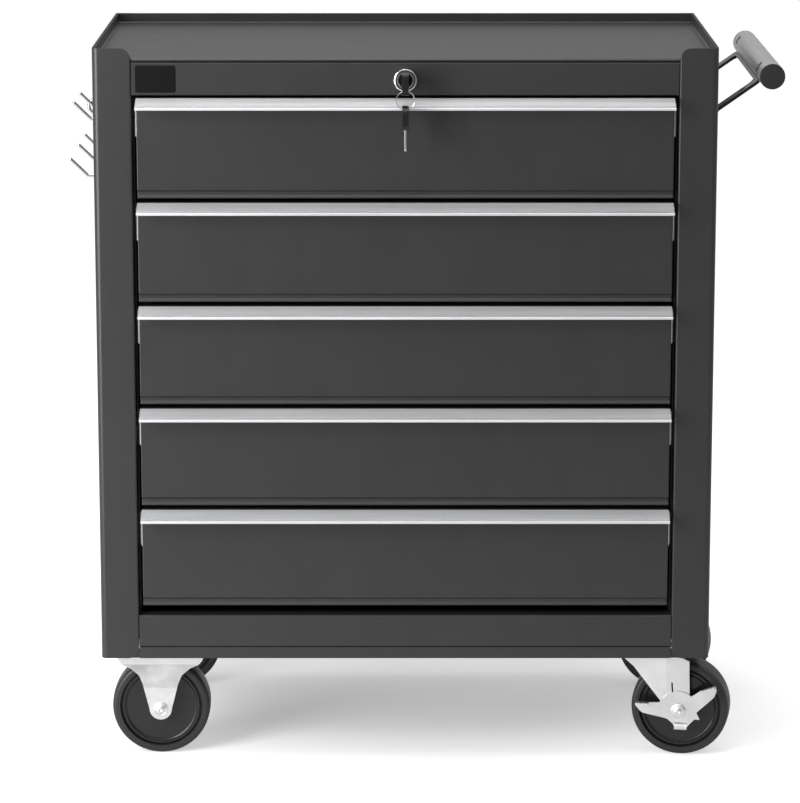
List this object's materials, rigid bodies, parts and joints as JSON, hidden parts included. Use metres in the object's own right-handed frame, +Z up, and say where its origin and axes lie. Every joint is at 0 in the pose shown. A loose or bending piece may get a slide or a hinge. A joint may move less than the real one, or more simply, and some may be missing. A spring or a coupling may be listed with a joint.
{
  "type": "rolling tool cabinet",
  "caption": "Rolling steel tool cabinet: stacked drawers on ball slides under a recessed top tray, central lock, side push handle, peg hooks, fixed and braked swivel casters.",
  "frame": {"origin": "bottom centre of the box around the whole cabinet, on the floor", "axes": "+Z up, -Y out of the drawer fronts, +X towards the push handle"},
  "size_m": [0.7164, 0.3756, 0.729],
  "materials": {
    "cabinet_paint": "semi-gloss powder coat",
    "inner_paint": "satin powder coat",
    "handle_paint": "semi-gloss powder coat",
    "pull_aluminium": "brushed and dark anodised",
    "slide_steel": "zinc plated",
    "lock_chrome": "polished",
    "hook_chrome": "polished",
    "lock_steel": "zinc plated",
    "key_plastic": "moulded black bow",
    "cap_plastic": "moulded",
    "caster_steel": "bright zinc plated",
    "wheel_plastic": "moulded"
  },
  "bodies": {
    "cabinet": {"left_side_panel": "cabinet_paint", "right_side_panel": "cabinet_paint", "back_panel": "cabinet_paint", "top_tray": "cabinet_paint", "top_rim": "cabinet_paint", "lock_rail": "cabinet_paint", "kick_rail": "cabinet_paint", "base_pan": "cabinet_paint", "slide_posts": "inner_paint", "slide_outer_members": "slide_steel", "lock_housing": "lock_chrome", "lock_bar_guides": "lock_steel", "handle_tube": "handle_paint", "handle_end_caps": "cap_plastic", "handle_bracket": "handle_paint", "peg_hooks": "hook_chrome", "fixed_caster_forks": "caster_steel", "fixed_caster_axles": "caster_steel", "swivel_caster_plates": "caster_steel"},
    "drawer_1": {"drawer_1_tray": "inner_paint", "drawer_1_front": "cabinet_paint", "drawer_1_pull": "pull_aluminium", "drawer_1_runners": "slide_steel"},
    "drawer_1_middles": {"drawer_1_slide_middles": "slide_steel"},
    "drawer_2": {"drawer_2_tray": "inner_paint", "drawer_2_front": "cabinet_paint", "drawer_2_pull": "pull_aluminium", "drawer_2_runners": "slide_steel"},
    "drawer_2_middles": {"drawer_2_slide_middles": "slide_steel"},
    "drawer_3": {"drawer_3_tray": "inner_paint", "drawer_3_front": "cabinet_paint", "drawer_3_pull": "pull_aluminium", "drawer_3_runners": "slide_steel"},
    "drawer_3_middles": {"drawer_3_slide_middles": "slide_steel"},
    "drawer_4": {"drawer_4_tray": "inner_paint", "drawer_4_front": "cabinet_paint", "drawer_4_pull": "pull_aluminium", "drawer_4_runners": "slide_steel"},
    "drawer_4_middles": {"drawer_4_slide_middles": "slide_steel"},
    "drawer_5": {"drawer_5_tray": "inner_paint", "drawer_5_front": "cabinet_paint", "drawer_5_pull": "pull_aluminium", "drawer_5_runners": "slide_steel"},
    "drawer_5_middles": {"drawer_5_slide_middles": "slide_steel"},
    "lock": {"lock_plug": "lock_chrome", "key": "key_plastic", "lock_rod": "lock_steel"},
    "lock_bar": {"lock_bar": "lock_steel"},
    "key_ring": {"key_ring": "lock_chrome"},
    "spare_key": {"spare_key": "key_plastic"},
    "left_front_wheel": {"left_front_wheel": "wheel_plastic"},
    "right_front_swivel": {"right_front_fork": "caster_steel", "right_front_axle": "caster_steel"},
    "right_front_wheel": {"right_front_wheel": "wheel_plastic"},
    "right_front_brake": {"right_front_brake": "caster_steel"},
    "left_rear_wheel": {"left_rear_wheel": "wheel_plastic"},
    "right_rear_swivel": {"right_rear_fork": "caster_steel", "right_rear_axle": "caster_steel"},
    "right_rear_wheel": {"right_rear_wheel": "wheel_plastic"},
    "right_rear_brake": {"right_rear_brake": "caster_steel"}
  },
  "joints": [
    {"name": "drawer_1_slide", "type": "slide", "parent": "cabinet", "child": "drawer_1", "axis": [0, -1, 0], "range_m": [0, 0.28], "deforming": ["key_ring", "spare_key"]},
    {"name": "drawer_1_middle_slide", "type": "slide", "parent": "cabinet", "child": "drawer_1_middles", "axis": [0, -1, 0], "range_m": [0, 0.14]},
    {"name": "drawer_2_slide", "type": "slide", "parent": "cabinet", "child": "drawer_2", "axis": [0, -1, 0], "range_m": [0, 0.28]},
    {"name": "drawer_2_middle_slide", "type": "slide", "parent": "cabinet", "child": "drawer_2_middles", "axis": [0, -1, 0], "range_m": [0, 0.14]},
    {"name": "drawer_3_slide", "type": "slide", "parent": "cabinet", "child": "drawer_3", "axis": [0, -1, 0], "range_m": [0, 0.28]},
    {"name": "drawer_3_middle_slide", "type": "slide", "parent": "cabinet", "child": "drawer_3_middles", "axis": [0, -1, 0], "range_m": [0, 0.14]},
    {"name": "drawer_4_slide", "type": "slide", "parent": "cabinet", "child": "drawer_4", "axis": [0, -1, 0], "range_m": [0, 0.28]},
    {"name": "drawer_4_middle_slide", "type": "slide", "parent": "cabinet", "child": "drawer_4_middles", "axis": [0, -1, 0], "range_m": [0, 0.14]},
    {"name": "drawer_5_slide", "type": "slide", "parent": "cabinet", "child": "drawer_5", "axis": [0, -1, 0], "range_m": [0, 0.28]},
    {"name": "drawer_5_middle_slide", "type": "slide", "parent": "cabinet", "child": "drawer_5_middles", "axis": [0, -1, 0], "range_m": [0, 0.14]},
    {"name": "lock_turn", "type": "hinge", "parent": "cabinet", "child": "lock", "pos_m": [-0.01652, -0.1422, 0.698], "axis": [0, 1, 0], "range_deg": [0, 90]},
    {"name": "lock_bar_lift", "type": "slide", "parent": "cabinet", "child": "lock_bar", "axis": [0, 0, 1], "range_m": [0, 0.012]},
    {"name": "key_ring_swing", "type": "hinge", "parent": "lock", "child": "key_ring", "pos_m": [-0.01652, -0.1763, 0.692], "axis": [1, 0, 0], "range_deg": [-75, 0]},
    {"name": "spare_key_swing", "type": "hinge", "parent": "key_ring", "child": "spare_key", "pos_m": [-0.01652, -0.1763, 0.67191], "axis": [1, 0, 0], "range_deg": [-70, 0]},
    {"name": "left_front_wheel_spin", "type": "hinge", "parent": "cabinet", "child": "left_front_wheel", "pos_m": [-0.26652, -0.0982, 0.05], "axis": [0, 1, 0], "continuous": true},
    {"name": "right_front_swivel", "type": "hinge", "parent": "cabinet", "child": "right_front_swivel", "pos_m": [0.23348, -0.0982, 0.116], "axis": [0, 0, 1], "continuous": true},
    {"name": "right_front_wheel_spin", "type": "hinge", "parent": "right_front_swivel", "child": "right_front_wheel", "pos_m": [0.26696, -0.1041, 0.05], "axis": [0.1736, 0.9848, 0], "continuous": true},
    {"name": "right_front_brake_lever", "type": "hinge", "parent": "right_front_swivel", "child": "right_front_brake", "pos_m": [0.26696, -0.1041, 0.05], "axis": [0.1736, 0.9848, 0], "range_deg": [0, 20]},
    {"name": "left_rear_wheel_spin", "type": "hinge", "parent": "cabinet", "child": "left_rear_wheel", "pos_m": [-0.26652, 0.1438, 0.05], "axis": [0, 1, 0], "continuous": true},
    {"name": "right_rear_swivel", "type": "hinge", "parent": "cabinet", "child": "right_rear_swivel", "pos_m": [0.23348, 0.1438, 0.116], "axis": [0, 0, 1], "continuous": true},
    {"name": "right_rear_wheel_spin", "type": "hinge", "parent": "right_rear_swivel", "child": "right_rear_wheel", "pos_m": [0.26696, 0.1379, 0.05], "axis": [0.1736, 0.9848, 0], "continuous": true},
    {"name": "right_rear_brake_lever", "type": "hinge", "parent": "right_rear_swivel", "child": "right_rear_brake", "pos_m": [0.26696, 0.1379, 0.05], "axis": [0.1736, 0.9848, 0], "range_deg": [0, 20]}
  ],
  "couplings": [
    {"joint": "drawer_1_middle_slide", "follows": "drawer_1_slide", "ratio": 0.5},
    {"joint": "drawer_2_middle_slide", "follows": "drawer_2_slide", "ratio": 0.5},
    {"joint": "drawer_3_middle_slide", "follows": "drawer_3_slide", "ratio": 0.5},
    {"joint": "drawer_4_middle_slide", "follows": "drawer_4_slide", "ratio": 0.5},
    {"joint": "drawer_5_middle_slide", "follows": "drawer_5_slide", "ratio": 0.5},
    {"joint": "lock_turn", "follows": "lock_bar_lift", "rad_per_m": 130.9}
  ]
}
